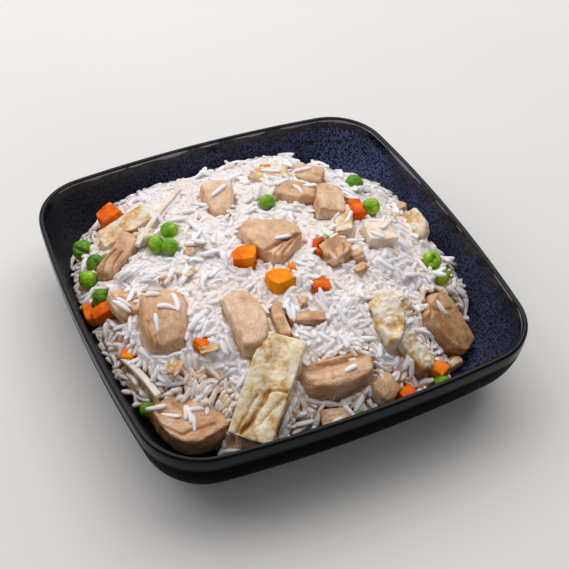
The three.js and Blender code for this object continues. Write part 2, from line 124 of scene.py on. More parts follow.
# Grains
GRAIN_LENGTH = (6.8 * MM, 10.4 * MM)
GRAIN_WIDTH = (2.0 * MM, 2.85 * MM)
GRAIN_THICKNESS = 0.72
GRAIN_FLATNESS = (0.85, 1.05)
GRAIN_BLUNT = 4.0
GRAIN_TAPER = 0.14
GRAIN_BEND = 0.2
GRAIN_WAIST = 0.16
WAIST_TURN = 3.2
BROKEN = (0.35, 0.8)
BROKEN_SHARE = 0.28

# Where a grain can touch what is under it, along and across it, and the slopes that it can take
TOUCH_ALONG = np.linspace(-0.94, 0.94, 13)
TOUCH_ACROSS = np.array([-0.7, 0.0, 0.7])
SLOPES = np.linspace(-1.2, 1.2, 25)

# Rings and sides of a grain's mesh
NEAR_RINGS, NEAR_SIDES = 7, 7
FAR_RINGS, FAR_SIDES = 7, 6
LOOSE_RINGS, LOOSE_SIDES = 8, 8

# How the rice is poured
CELL = 0.4 * MM
REACH = 96 * MM
TARGET_DROP = 0.2 * MM
BANK_RISE = 1.0 * MM
BANK_CELLS = 5
LEAST_LACK = 0.5 * MM
HIGHEST_REST = 0.5 * MM
FEWEST_CELLS = 400
BATCH = 150
TRIES = 4
GAP_COST = 0.4
GRAIN_SINK = 1.15 * MM
GRAIN_DEPTH = 3.6 * MM
SEEN_DEPTH = 1.7 * MM
THINNEST_RICE = 1.5 * MM
RIM_CLEAR = 4 * MM
FLOW_SPAN = 15 * MM
FLOW_SPREAD = 0.6
FLOW_SEED = 60
LEVEL_SPAN = 3.5 * MM
DEEP_SPAN = 2 * MM

# The fused rice under the grains
CORE_STEP = 0.6 * MM
CORE_BLOCK = 3
CORE_DEPTH = 0.08 * MM
CORE_OFF_FLOOR = 0.4 * MM
CORE_CREST = 0.9 * MM
CORE_UNDER_TOPPING = 0.8 * MM
FUSED_UNDER_TOPPING = 1.2 * MM
FUSED_UNDER_LEVEL = 0.4 * MM
THINNEST_CORE = 0.6 * MM
LEAST_CORE = 0.2 * MM
# Painted shade: below this height the fused rice is painted darker, fading in over the span below.
LOW_RICE = 36 * MM
LOW_FADE = 7 * MM

# Loose grains on the rice
LOOSE_GRAINS = 260
LOOSE_LEAN = 0.15
LOOSE_SINK = 1.2 * MM
LEAN_RISE = 0.2
CLEAR_CELLS = 3
CLEAR_SHARE = 0.93
PATCH_CELLS = 5
PATCH_SHARE = 0.502

# Loose grains on the toppings
GRAINS_ON = {
    "chicken_11": 6, "chicken_7": 4, "chicken_5": 1, "chicken_12": 1, "chicken_14": 1,
    "chicken_1": 1, "chicken_2": 1, "chicken_3": 3, "chicken_8": 3, "chicken_15": 2, "chicken_20": 2,
    "pea_12": 2, "omelette_5": 1, "omelette_3": 1, "chicken_19": 2,
}
TOPPING_LEAN = 0.02
TOPPING_SINK = 0.9 * MM
TOPPING_LOW_SHARE = 0.35

# How strongly the lumps of a piece stand out, where it is smoother or craggier than most
STRENGTH = {
    "chicken_1": 0.5, "chicken_5": 0.5, "chicken_7": 0.45, "chicken_8": 1.7, "chicken_9": 0.35,
    "chicken_11": 0.6, "chicken_12": 0.5, "chicken_13": 0.5, "chicken_14": 0.7, "chicken_16": 1.3,
    "chicken_17": 1.2, "chicken_18": 1.3, "chicken_19": 1.4,
    "omelette_1": 0.5, "omelette_4": 0.5, "omelette_6": 0.45, "omelette_7": 0.5,
}
USUAL_STRENGTH = 0.9

# Pieces whose edges are well rounded, pieces with crisp edges, and pieces without separate bundles
ROUNDED = ("chicken_1", "chicken_6", "chicken_7", "chicken_9", "chicken_12", "chicken_13")
CRISP = ("chicken_11", "chicken_14", "chicken_15", "chicken_16")
UNDIVIDED = ROUNDED + ("chicken_5", "chicken_11")
ROUNDED_EASE = 36
CRISP_EASE = 6
CURD_EASE = 10

# Egg: curds have sharp folds, and all but the flat strip are pale
CURDS = ("omelette_4", "omelette_6", "omelette_7", "omelette_8")
PALE_EGG = CURDS + ("omelette_2", "omelette_3", "omelette_5")

# How much paler (above nothing) or browner (below it) than the others of its kind a piece is
PALENESS = {
    "chicken_15": 3, "chicken_4": 0.6, "chicken_1": 0.6, "chicken_9": 0.5, "chicken_2": 0.2,
    "chicken_16": -0.4, "chicken_6": -0.3, "chicken_8": -0.5, "chicken_11": -0.4, "chicken_12": 0.1,
    "chicken_14": -0.3, "carrot_5": 1, "carrot_9": 0.5,
}

# Creases and folds: a line in millimetres from the middle of the dish, its depth and its width
CREASES = {
    "chicken_5": (
        (((-8, -6), (1, -3), (10, -1.5)), 1.4, 0.9),
        (((8, -3), (-3, -11.5)), 1.0, 0.7),
        (((12, -2), (-0.5, -14)), 1.0, 0.7),
        (((4.5, -3), (-5.5, -10)), 0.7, 0.6),
    ),
    "chicken_6": (
        (((-66, 33.5), (-72, 31), (-74.5, 27)), 0.8, 0.6),
        (((-63.5, 30.5), (-69, 27.5), (-72.5, 21.5)), 0.7, 0.5),
    ),
    "chicken_7": (
        (((-69, -17), (-70.5, -25.5)), 0.5, 0.5),
        (((-68, -24.5), (-69, -28)), 0.5, 0.5),
    ),
    "chicken_8": ((((-72.5, -0.5), (-72, -2.5)), 2.2, 1.6), (((-73, 7), (-67.5, 2)), 0.9, 0.8)),
    "chicken_9": ((((-34.5, -24), (-35, -34), (-37, -43)), 0.3, 1.4),),
    "chicken_11": (
        (((-77, -49.5), (-72.5, -53.5), (-67, -58.5), (-65, -63)), 0.7, 0.6),
        (((-78, -56.5), (-72, -64), (-64, -63.5), (-56.5, -63.5)), 0.8, 0.6),
        (((-70, -47), (-68, -51), (-67, -56)), 0.5, 0.5),
    ),
    "chicken_12": (
        (((-10, -63.5), (-3.5, -65.5), (1.5, -65.5), (9, -64.5), (13.5, -66)), 0.5, 0.7),
        (((-6.5, -69), (-7, -73)), 0.5, 0.5),
    ),
    "chicken_14": (
        (((56, -42.5), (54, -52), (51, -54)), 0.6, 0.6),
        (((57, -51), (62, -52), (67, -49.5)), 0.6, 0.6),
    ),
    "chicken_16": (
        (((21, -16), (20.5, -21.5)), 0.9, 0.6),
        (((17.5, -18), (17.5, -22.5)), 0.9, 0.5),
        (((26.5, -13.5), (24.5, -20)), 0.9, 0.6),
    ),
    "omelette_1": (
        (((-34, -66), (-38, -69), (-45.5, -73), (-50.5, -74)), 1.5, 0.8),
        (((-39, -65.5), (-46, -69.5), (-52, -73)), 0.9, 0.6),
        (((-34, -66), (-28, -71)), 1.0, 0.5),
        (((-30, -72.5), (-36, -73.5), (-42, -75.5)), 0.7, 0.9),
    ),
}

# Splits and dimples in peas: the way each faces, its depth, length and width
PEA_MARKS = {
    "pea_1": (((-0.2, -0.75, 0.65), 0.3, 1.1, 0.16),),
    "pea_2": (((0.1, -0.5, 0.85), 0.1, 0.5, 0.3),),
    "pea_4": (((0.3, -0.5, 0.8), 0.08, 0.5, 0.3),),
    "pea_6": (((-0.3, -0.6, 0.7), 0.1, 0.6, 0.2),),
    "pea_7": (((0.3, -0.6, 0.75), 0.14, 0.9, 0.12),),
    "pea_11": (((0.05, -0.45, 0.9), 0.3, 0.35, 0.3), ((-0.5, -0.6, 0.6), 0.12, 0.5, 0.2)),
}
PEA_DENT = 0.12
PEA_WRINKLE = 0.035
PEA_SQUASH = (1, 1, 0.95)
BALL_DIVISIONS = 4

# Torn bits too small for nodes of their own: the place, length, width and height of each
CRUMBS = {
    "chicken": (
        (74.5, 17.6, 9, 5.5, 4), (-63.4, -35.8, 12, 5, 3), (-52, 3.8, 6, 4, 3), (-4, -33.5, 7, 4, 3),
        (-31.8, 13.8, 5, 3.5, 2.5), (11, 48, 7, 4, 3), (30, -26, 7, 4, 3),
    ),
    "omelette": (
        (-43.5, 4, 9, 6, 2), (-66.5, -35.3, 7, 5, 2.5), (39.7, -42.5, 8, 6, 2), (43.2, -46.2, 7, 2, 2),
        (42, -50, 6, 2, 2), (-36.9, 13.2, 5, 4, 2), (-49, -38, 8, 5, 2), (66, 8, 5, 4, 2),
    ),
    "pea": ((-37, -80, 6, 4, 2.5), (23.1, -4.3, 3.5, 1.6, 1.4)),
    "carrot": ((21, 57.7, 5, 3, 2), (-0.5, -16.5, 4.5, 3, 2), (-26, 30, 1.6, 1.2, 1)),
}
CRUMB_SEED = 70
CRUMB_CREST = 0.8 * MM
CRUMB_TONE = 0.2
CRUMB_ROUND = 0.6
CRUMB_LIFT = 0.12

rng = np.random.default_rng(20)


# Noise

def lattice(cell, seed):
    """A value from -1 to 1 for each cell, always the same for the same seed."""
    i, j, k = (cell[..., axis].astype(np.uint32) for axis in range(3))
    h = i * np.uint32(374761393) + j * np.uint32(668265263) + k * np.uint32(2147483647)
    h = (h + np.uint32(seed * 974634777 % 2**32)) * np.uint32(1274126177)
    h ^= h >> np.uint32(13)
    h *= np.uint32(1103515245)
    h ^= h >> np.uint32(16)
    return h / 2147483648 - 1


def noise(points, seed):
    """Smooth values from -1 to 1, one for each point, about one unit from hill to hollow."""
    cell = np.floor(points).astype(np.int64)
    part = points - cell
    ease = part * part * (3 - 2 * part)
    total = 0
    for corner in product((0, 1), repeat=3):
        weight = np.prod(np.where(corner, ease, 1 - ease), axis=-1)
        total = total + weight * lattice(cell + np.array(corner), seed)
    return total


def layered(points, span, seed, layers=3):
    """Noise at a span and at ever smaller ones."""
    total = 0
    for layer in range(layers):
        total = total + noise(points / span * 2**layer, seed + layer) / 2**layer
    return total / (2 - 2 ** (1 - layers))


def ripple(x, y, span, seed):
    flat = np.stack([x / span, y / span, np.full_like(x, 0.5)], axis=-1)
    return noise(flat, seed)


# Meshes

def new_piece(name, vertices, faces, smooth=True):
    """An object from numpy arrays. The faces all have the same number of corners."""
    vertices = np.asarray(vertices, dtype=np.float64)
    faces = np.asarray(faces, dtype=np.int32)
    corners = faces.shape[1]
    mesh = bpy.data.meshes.new(name)
    mesh.vertices.add(len(vertices))
    mesh.vertices.foreach_set("co", vertices.ravel())
    mesh.loops.add(faces.size)
    mesh.loops.foreach_set("vertex_index", faces.ravel())
    mesh.polygons.add(len(faces))
    mesh.polygons.foreach_set("loop_start", np.arange(0, faces.size, corners, dtype=np.int32))
    mesh.polygons.foreach_set("use_smooth", np.full(len(faces), smooth))
    mesh.update(calc_edges=True)
    mesh.validate()
    piece = bpy.data.objects.new(name, mesh)
    bpy.context.scene.collection.objects.link(piece)
    return piece


def arrays(mesh):
    """A mesh's vertices, vertex normals and triangles."""
    vertices = np.empty(len(mesh.vertices) * 3)
    mesh.vertices.foreach_get("co", vertices)
    normals = np.empty(len(mesh.vertices) * 3)
    mesh.vertex_normals.foreach_get("vector", normals)
    mesh.calc_loop_triangles()
    triangles = np.empty(len(mesh.loop_triangles) * 3, dtype=np.int32)
    mesh.loop_triangles.foreach_get("vertices", triangles)
    return vertices.reshape(-1, 3), normals.reshape(-1, 3), triangles.reshape(-1, 3)


def set_points(piece, vertices):
    piece.data.vertices.foreach_set("co", np.asarray(vertices).ravel())
    piece.data.update()


def mark(piece, name, values):
    """A number or a place for each vertex, for the materials to read. One number does for all."""
    values = np.asarray(values, dtype=np.float32)
    if values.ndim == 0:
        values = np.full(len(piece.data.vertices), values)
    kind, key = ("FLOAT_VECTOR", "vector") if values.ndim == 2 else ("FLOAT", "value")
    piece.data.attributes.new(name, kind, "POINT").data.foreach_set(key, values.ravel())


def finer(node, name, voxel, rounds):
    """A CAD node's solid as a fine even mesh with its edges eased."""
    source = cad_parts[node]
    rough_piece = bpy.data.objects.new(name, source.data.copy())
    bpy.context.scene.collection.objects.link(rough_piece)
    remesh = rough_piece.modifiers.new("remesh", "REMESH")
    remesh.mode = "VOXEL"
    remesh.voxel_size = voxel
    ease = rough_piece.modifiers.new("ease", "SMOOTH")
    ease.factor = 0.5
    ease.iterations = rounds
    graph = bpy.context.evaluated_depsgraph_get()
    fine = bpy.data.meshes.new_from_object(rough_piece.evaluated_get(graph))
    bpy.data.objects.remove(rough_piece)
    fine.materials.clear()
    fine.polygons.foreach_set("use_smooth", np.ones(len(fine.polygons), dtype=bool))
    piece = bpy.data.objects.new(name, fine)
    bpy.context.scene.collection.objects.link(piece)
    return piece


# Dish

SIDE_RADIUS = (DISH_HALF_WIDTH**2 + SIDE_BOW**2) / (2 * SIDE_BOW)


def corner_radius(inset):
    past = max(0, inset - RIM_WIDTH)
    return CORNER_RADIUS - min(inset, RIM_WIDTH) - INNER_CORNER_SHRINK * past


def outline_ring(inset, height):
    """The bowed square outline of the dish, drawn in by an inset."""
    side = SIDE_RADIUS - inset
    corner = corner_radius(inset)
    centre = DISH_HALF_WIDTH - SIDE_RADIUS
    hub = (centre + math.sqrt(2 * (side - corner) ** 2 - centre**2)) / 2
    meet = math.atan2(hub, hub - centre)
    turns = np.linspace(-meet, meet, SIDE_STEPS, endpoint=False)
    bends = np.linspace(meet, math.pi / 2 - meet, CORNER_STEPS, endpoint=False)
    quarter_x = np.concatenate([centre + side * np.cos(turns), hub + corner * np.cos(bends)])
    quarter_y = np.concatenate([side * np.sin(turns), hub + corner * np.sin(bends)])
    quarters = []
    for c, s in ((1, 0), (0, 1), (-1, 0), (0, -1)):
        x = quarter_x * c - quarter_y * s
        y = quarter_x * s + quarter_y * c
        quarters.append(np.stack([x, y, np.full_like(x, height)], axis=1))
    return np.concatenate(quarters)


def dish_rings():
    """The rings of the dish from under its foot, up outside, over the rim and down to the floor."""
    inner_edge = FOOT_INSET + FOOT_WIDTH
    places = [
        (inner_edge + 2 * UNDERSIDE_RECESS, UNDERSIDE_RECESS),
        (inner_edge + UNDERSIDE_RECESS, UNDERSIDE_RECESS),
        (inner_edge + FOOT_ROUND, FOOT_ROUND),
        (inner_edge, 0),
        (FOOT_INSET + FOOT_ROUND, 0),
        (FOOT_INSET, FOOT_ROUND),
        (FOOT_INSET - FOOT_DRAFT, FOOT_HEIGHT),
    ]
    rim_level = DISH_HEIGHT - RIM_ROUND
    for level in np.linspace(1, WALL_START, WALL_STEPS):
        turn = level * math.pi / 2
        fall = (rim_level - (FOOT_HEIGHT + FOOT_DRAFT)) * math.sin(turn)
        places.append((OUTER_RUN * (1 - math.cos(turn)), rim_level - fall))
    for turn in np.linspace(math.pi, 0, RIM_STEPS):
        places.append((RIM_WIDTH / 2 * (1 + math.cos(turn)), rim_level + RIM_ROUND * math.sin(turn)))
    for level in np.linspace(WALL_START, 1, WALL_STEPS):
        turn = level * math.pi / 2
        fall = (rim_level - FLOOR_HEIGHT) * math.sin(turn)
        places.append((RIM_WIDTH + INNER_RUN * (1 - math.cos(turn)), rim_level - fall))
    return [outline_ring(inset, height) for inset, height in places]


def make_dish():
    rings = dish_rings()
    count = len(rings[0])
    vertices = np.concatenate(rings + [rings[0].mean(axis=0)[None], rings[-1].mean(axis=0)[None]])
    here = np.arange(count)
    after = (here + 1) % count
    faces = []
    for r in range(len(rings) - 1):
        low, high = r * count, (r + 1) * count
        faces.append(np.stack([low + here, low + after, high + after], axis=1))
        faces.append(np.stack([low + here, high + after, high + here], axis=1))
    last = (len(rings) - 1) * count
    bottom, middle = len(rings) * count, len(rings) * count + 1
    faces.append(np.stack([np.full(count, bottom), after, here], axis=1))
    faces.append(np.stack([np.full(count, middle), last + here, last + after], axis=1))
    piece = new_piece("glazed_dish", vertices, np.concatenate(faces))
    ring = np.concatenate([np.repeat(np.arange(len(rings)), count), [0, len(rings) - 1]])
    rim_start = FOOT_RINGS + WALL_STEPS
    mark(piece, "inner", ring >= rim_start + RIM_STEPS - 2)
    mark(piece, "rim", (ring >= rim_start - 1) & (ring <= rim_start + RIM_STEPS))
    x, y = vertices[:, 0], vertices[:, 1]
    # Painted light: how far each place lies towards the key light, where the glaze is painted lighter
    # and more bluish.
    mark(piece, "painted_light_side", np.clip(PAINTED_LIGHT_LEVEL + x / PAINTED_LIGHT_RUN[0] + y / PAINTED_LIGHT_RUN[1], 0, 1))
    mark(piece, "lip", (ring >= rim_start + RIM_STEPS - 2) & (ring < rim_start + RIM_STEPS))
    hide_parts("dish")
    return piece


# Toppings

def fibre_axes(vertices):
    """The long, middle and short directions of a piece."""
    spread = vertices - vertices.mean(axis=0)
    _, _, axes = np.linalg.svd(spread[:: max(1, len(spread) // 2000)], full_matrices=False)
    return axes


def bundles(local, count, seed):
    """Muscle bundles along a piece: how high each stands, and where the grooves between them run."""
    chance = np.random.default_rng(seed)
    extent = np.ptp(local, axis=0)
    hubs = chance.uniform(-0.5, 0.5, (count, 2)) * extent[1:]
    levels = chance.uniform(-1, 1, count)
    wander = np.stack([noise(local / (9 * MM), seed + 60 + side) for side in (0, 1)], axis=1)
    across = local[:, 1:] + 1.8 * MM * wander
    away = np.linalg.norm(across[:, None] - hubs[None], axis=2)
    order = np.argsort(away, axis=1)
    near, following = (np.take_along_axis(away, order[:, i:i + 1], axis=1)[:, 0] for i in (0, 1))
    groove = np.exp(-(((following - near) / (0.9 * MM)) ** 2))
    first, second = levels[order[:, 0]], levels[order[:, 1]]
    return first + (second - first) * 0.5 * groove, groove


def chicken_relief(vertices, seed, strength, node):
    """Lumps, bundles, fibres and tears of cooked breast meat: how far each point stands out."""
    local = (vertices - vertices.mean(axis=0)) @ fibre_axes(vertices).T
    extent = np.ptp(local, axis=0)
    count = int(np.clip(extent[1] * extent[2] / (40 * MM**2), 2, 6))
    level, groove = bundles(local, count, seed)
    broken = np.clip(0.2 + 1.2 * noise(local / (7 * MM), seed + 50), 0, 1)
    lumps = layered(local, 9 * MM, seed, 3)
    coarse_fibres = noise(local / np.array([7.0, 1.6, 1.6]) / MM, seed + 20)
    fine_fibres = noise(local / np.array([4.0, 0.8, 0.8]) / MM, seed + 21)
    ends = np.clip((np.abs(local[:, 0]) / extent[0] * 2 - 0.7) / 0.3, 0, 1)
    pits = layered(local, 2.4 * MM, seed + 40, 3)
    if node in UNDIVIDED:
        level = groove = 0
    out = strength * MM * (0.9 * lumps + 0.3 * level - 0.6 * broken * groove)
    out = out + MM * (0.2 + 0.3 * ends) * strength * coarse_fibres
    return out + 0.1 * MM * fine_fibres + 0.2 * MM * pits


def omelette_relief(vertices, seed, strength, node):
    wrinkles = 0.6 * MM * layered(vertices, 6 * MM, seed, 3)
    bubbles = 0.16 * MM * noise(vertices / (1.7 * MM), seed + 10)
    return strength * wrinkles + bubbles


def curd_relief(vertices, seed, strength, node):
    """Crumpled scrambled egg: sharp ridges and deep folds."""
    ridges = 1 - 2 * np.abs(noise(vertices / (5.5 * MM), seed))
    small = 1 - 2 * np.abs(noise(vertices / (2.2 * MM), seed + 1))
    crumbly = noise(vertices / (1.1 * MM), seed + 2)
    return strength * MM * (0.9 * ridges + 0.6 * small + 0.28 * crumbly)


def carrot_relief(vertices, seed, strength, node):
    return strength * 0.42 * MM * layered(vertices, 2.8 * MM, seed, 3)


def sprout_relief(vertices, seed, strength, node):
    return strength * 0.12 * MM * layered(vertices, 4 * MM, seed, 2)


def off_line(x, y, points):
    """How far each place is in plan from a line of straight stretches."""
    nearest = np.full(x.shape, np.inf)
    for start, end in zip(points[:-1], points[1:]):
        (ax, ay), (bx, by) = np.array(start) * MM, np.array(end) * MM
        run = (bx - ax) ** 2 + (by - ay) ** 2
        part = np.clip(((x - ax) * (bx - ax) + (y - ay) * (by - ay)) / run, 0, 1)
        nearest = np.minimum(nearest, np.hypot(x - ax - part * (bx - ax), y - ay - part * (by - ay)))
    return nearest


def crease_depth(node, vertices, normals):
    """How far a piece's own creases draw in the sides of it that face up."""
    depth = np.zeros(len(vertices))
    wander = 0.5 * MM * noise(vertices / (3 * MM), 90)
    for points, deep, width in CREASES.get(node, ()):
        away = off_line(vertices[:, 0] + wander, vertices[:, 1] - wander, points)
        depth += deep * MM * np.exp(-((away / (width * MM)) ** 2))
    return depth * np.clip(2 * normals[:, 2], 0, 1)


def own_tone(seed):
    """A piece's own shade, from -1 to 1."""
    return lattice(np.array([[seed, 1, 2]]), 5)[0]


def dress(node, relief, voxel, rounds, seed):
    """A CAD topping with the relief of its kind and its own creases."""
    piece = finer(node, f"{node}_piece", voxel, rounds)
    vertices, normals, _ = arrays(piece.data)
    out = relief(vertices, seed, STRENGTH.get(node, USUAL_STRENGTH), node)
    out = out - crease_depth(node, vertices, normals)
    set_points(piece, vertices + normals * out[:, None])
    # Painted shade and light: the materials paint chicken and egg darker where this relief is low and
    # lighter where it is high.
    mark(piece, "relief", np.clip(out / MM, -1.5, 1.5))
    mark(piece, "tone", own_tone(seed))
    mark(piece, "fibre", (vertices - vertices.mean(axis=0)) @ fibre_axes(vertices).T)
    mark(piece, "pale", PALENESS.get(node, 0))
    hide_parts(node)
    return piece


def icosphere(divisions):
    ball = bmesh.new()
    bmesh.ops.create_icosphere(ball, subdivisions=divisions, radius=1)
    mesh = bpy.data.meshes.new("ball")
    ball.to_mesh(mesh)
    ball.free()
    vertices, _, faces = arrays(mesh)
    bpy.data.meshes.remove(mesh)
    return vertices, faces


def pea_marks(node, vertices):
    depth = np.zeros(len(vertices))
    for facing, deep, length, width in PEA_MARKS.get(node, ()):
        facing = np.array(facing) / np.linalg.norm(facing)
        along = np.cross(facing, (0.5, 0.3, 0.8))
        along /= np.linalg.norm(along)
        across = np.cross(facing, along)
        front = np.clip(vertices @ facing, 0, 1)
        spread = (vertices @ along / length) ** 2 + (vertices @ across / width) ** 2
        depth += deep * np.exp(-spread) * front
    return depth


def make_pea(node, ball, seed):
    low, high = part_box(node)
    low, high = np.array(low), np.array(high)
    centre = (low + high) / 2
    radius = (high - low)[:2].mean() / 2
    vertices, faces = ball
    dents = np.minimum(0, noise(vertices * 1.4 + seed, seed) + 0.2)
    wrinkles = layered(vertices, 0.42, seed + 5, 3)
    marks = pea_marks(node, vertices)
    size = radius * (1 + PEA_DENT * dents + PEA_WRINKLE * wrinkles - marks)
    piece = new_piece(f"{node}_piece", centre + vertices * size[:, None] * PEA_SQUASH, faces)
    # Painted shade: the relief is low in dents and splits, where the skin is painted darker.
    mark(piece, "relief", dents - 3 * marks + 0.4 * wrinkles)
    mark(piece, "tone", own_tone(seed))
    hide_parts(node)
    return piece


def make_toppings():
    """Every topping as a piece. A kind has its relief, the size of its finest detail and its easing."""
    kinds = {
        "chicken": (chicken_relief, 0.48 * MM, 16),
        "omelette": (omelette_relief, 0.42 * MM, 5),
        "carrot": (carrot_relief, 0.4 * MM, 11),
        "sprout": (sprout_relief, 0.4 * MM, 3),
    }
    pieces = {}
    ball = icosphere(BALL_DIVISIONS)
    for seed, node in enumerate(sorted(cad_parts), start=1):
        kind = node.split("_")[0]
        if kind in kinds:
            relief, voxel, rounds = kinds[kind]
            if node in CURDS:
                relief, rounds = curd_relief, CURD_EASE
            if node in ROUNDED:
                rounds = ROUNDED_EASE
            if node in CRISP:
                rounds = CRISP_EASE
            pieces[node] = dress(node, relief, voxel, rounds, seed)
        elif kind == "pea":
            pieces[node] = make_pea(node, ball, seed)
    return pieces


# Rice

def edge_radius(angle):
    middle = DISH_HALF_WIDTH - HEAP_WALL_INSET
    corner_hub = DISH_HALF_WIDTH - CORNER_RADIUS - HEAP_CORNER_ROUND
    diagonal = corner_hub * math.sqrt(2) + CORNER_RADIUS - HEAP_WALL_INSET
    radius = diagonal + (middle - diagonal) * np.abs(np.cos(2 * angle))
    for corner, shortfall in CORNER_SHORTFALL.items():
        off = angle - math.radians(corner)
        away = np.arctan2(np.sin(off), np.cos(off))
        radius = radius - shortfall * np.exp(-((away / CORNER_SPREAD) ** 2))
    return radius


def heap_top(x, y):
    from_x, from_y = x - HEAP_CENTRE[0], y - HEAP_CENTRE[1]
    part = np.hypot(from_x, from_y) / edge_radius(np.arctan2(from_y, from_x))
    mound = HEAP_EDGE + (HEAP_CREST - HEAP_EDGE) * (1 - part**HEAP_SHOULDER)
    return mound + CLUMP_RISE * ripple(x, y, CLUMP_SPAN, CLUMP_SEED)


def top_surface(pieces):
    """The height of the highest surface over each cell of the plan, and which piece it is."""
    points, _, faces = zip(*(arrays(piece.data) for piece in pieces))
    starts = np.cumsum([0] + [len(own) for own in points])
    triangles = np.concatenate([own + start for own, start in zip(faces, starts)])
    owner = np.repeat(np.arange(len(pieces)), [len(own) for own in faces])
    tree = BVHTree.FromPolygons(
        np.concatenate(points).tolist(), triangles.tolist(), all_triangles=True
    )
    line = np.arange(-REACH, REACH, CELL)
    height = np.zeros((len(line), len(line)))
    who = np.full(height.shape, -1)
    down = Vector((0, 0, -1))
    for row, y in enumerate(line):
        for column, x in enumerate(line):
            hit, _, face, _ = tree.ray_cast(Vector((x, y, 0.1)), down)
            if hit:
                height[row, column] = hit.z
                who[row, column] = owner[face]
    return line, height, who


def grain_profile(part):
    """Half the thickness of a grain from end to end, as a part of the whole: one end is blunter."""
    belly = np.clip(1 - np.abs(part) ** GRAIN_BLUNT, 0, 1) ** 0.5
    return belly * (1 - GRAIN_TAPER * part)


def cell_of(line, places):
    """The number of the cell nearest to each place along one axis."""
    return np.clip(((places - line[0]) / CELL + 0.5).astype(int), 0, len(line) - 1)


def drop(height, line, x, y, yaws, length, width):
    """Where a grain comes to rest at a spot, for each of some yaws: its height, slope and gap."""
    along = (TOUCH_ALONG * length / 2)[None, :, None]
    half = (grain_profile(TOUCH_ALONG) * width / 2)[None, :, None]
    across = TOUCH_ACROSS * half
    c, s = np.cos(yaws)[:, None, None], np.sin(yaws)[:, None, None]
    px = x + along * c - across * s
    py = y + along * s + across * c
    ground = height[cell_of(line, py), cell_of(line, px)]
    need = (ground + GRAIN_THICKNESS * half * np.sqrt(1 - TOUCH_ACROSS**2)).max(axis=2)
    rest = (need[:, None, :] - SLOPES[:, None] * along[:, :, 0][:, None, :]).max(axis=2)
    best = rest.argmin(axis=1)
    z = rest[np.arange(len(yaws)), best]
    slope = SLOPES[best]
    gap = (z[:, None] + slope[:, None] * along[:, :, 0] - need).mean(axis=1)
    return z, slope, gap


def stamp(height, line, x, y, z, yaw, slope, length, width):
    """Raises the surface to a grain's back."""
    reach = length / 2 + CELL
    first, last = (np.array([x, y]) + side * reach - line[0] for side in (-1, 1))
    first = np.maximum(0, (first / CELL).astype(int))
    last = np.minimum(len(line), (last / CELL).astype(int) + 2)
    columns, rows = (slice(first[axis], last[axis]) for axis in (0, 1))
    gx = line[columns][None, :] - x
    gy = line[rows][:, None] - y
    tilt = math.cos(math.atan(slope))
    along = gx * math.cos(yaw) + gy * math.sin(yaw)
    across = -gx * math.sin(yaw) + gy * math.cos(yaw)
    half = grain_profile(np.clip(along / (length * tilt / 2), -1, 1)) * width / 2
    rise = np.sqrt(np.maximum(0, half**2 - across**2)) * GRAIN_THICKNESS
    top = np.where(half > np.abs(across), z + slope * along + rise, 0)
    patch = height[rows, columns]
    np.maximum(patch, top, out=patch)


def pour(line, height, target, inside, flow):
    """Drops grains where the heap is lowest against its target until it is full."""
    grains = []
    lacking = inside.copy()
    while True:
        lack = np.where(lacking, target - height, 0)
        lack[lack < LEAST_LACK] = 0
        total = lack.sum()
        if total == 0 or np.count_nonzero(lack) < FEWEST_CELLS:
            return grains
        cells = rng.choice(lack.size, size=BATCH, p=(lack / total).ravel())
        for cell in cells:
            row, column = divmod(int(cell), len(line))
            if not lacking[row, column] or target[row, column] - height[row, column] < LEAST_LACK:
                continue
            whole = rng.random() > BROKEN_SHARE
            length = rng.uniform(*GRAIN_LENGTH) * (1 if whole else rng.uniform(*BROKEN))
            width = rng.uniform(*GRAIN_WIDTH)
            x = line[column] + rng.uniform(-0.5, 0.5) * CELL
            y = line[row] + rng.uniform(-0.5, 0.5) * CELL
            yaws = flow[row, column] + rng.normal(0, FLOW_SPREAD, TRIES)
            yaws = yaws + rng.integers(0, 2, TRIES) * math.pi
            z, slope, gap = drop(height, line, x, y, yaws, length, width)
            pick = int((z + GAP_COST * gap).argmin())
            if z[pick] > target[row, column] + HIGHEST_REST:
                lacking[row, column] = False
                continue
            sunk = z[pick] - GRAIN_SINK
            stamp(height, line, x, y, sunk, yaws[pick], slope[pick], length, width)
            grains.append((x, y, sunk, yaws[pick], math.atan(slope[pick]), length, width))


def scatter(line, height, mask, count, tilt, sink):
    """Loose grains on what is there, some with an end in the air."""
    cells = rng.choice(mask.size, size=count, p=(mask / mask.sum()).ravel())
    grains = []
    for cell in cells:
        row, column = divmod(int(cell), len(line))
        x, y = line[column], line[row]
        length = rng.uniform(*GRAIN_LENGTH)
        width = rng.uniform(*GRAIN_WIDTH)
        yaws = rng.uniform(0, 2 * math.pi, TRIES)
        z, slope, gap = drop(height, line, x, y, yaws, length, width)
        pick = int(gap.argmin())
        lean = rng.normal(0, tilt)
        angle = math.atan(slope[pick]) + lean
        up = z[pick] + abs(math.sin(lean)) * length * LEAN_RISE - sink
        stamp(height, line, x, y, up, yaws[pick], math.tan(angle), length, width)
        grains.append((x, y, up, yaws[pick], angle, length, width))
    return grains


def grain_template(rings, sides):
    """A unit grain along +X: its points and its triangles."""
    parts = -np.cos(np.linspace(0, math.pi, rings + 2))[1:-1]
    turns = np.arange(sides) * 2 * math.pi / sides
    half = grain_profile(parts)[:, None]
    x = np.repeat(parts, sides)
    y = (half * np.cos(turns)[None, :]).ravel()
    z = (half * np.sin(turns)[None, :]).ravel()
    points = np.concatenate([np.stack([x, y, z], axis=1), [[-1, 0, 0], [1, 0, 0]]])
    faces = []
    for r in range(rings - 1):
        for i in range(sides):
            a, b = r * sides + i, r * sides + (i + 1) % sides
            faces += [(a, b, a + sides), (b, b + sides, a + sides)]
    tail, tip = rings * sides, rings * sides + 1
    for i in range(sides):
        j = (i + 1) % sides
        last = (rings - 1) * sides
        faces += [(tail, j, i), (tip, last + i, last + j)]
    return points, np.array(faces)


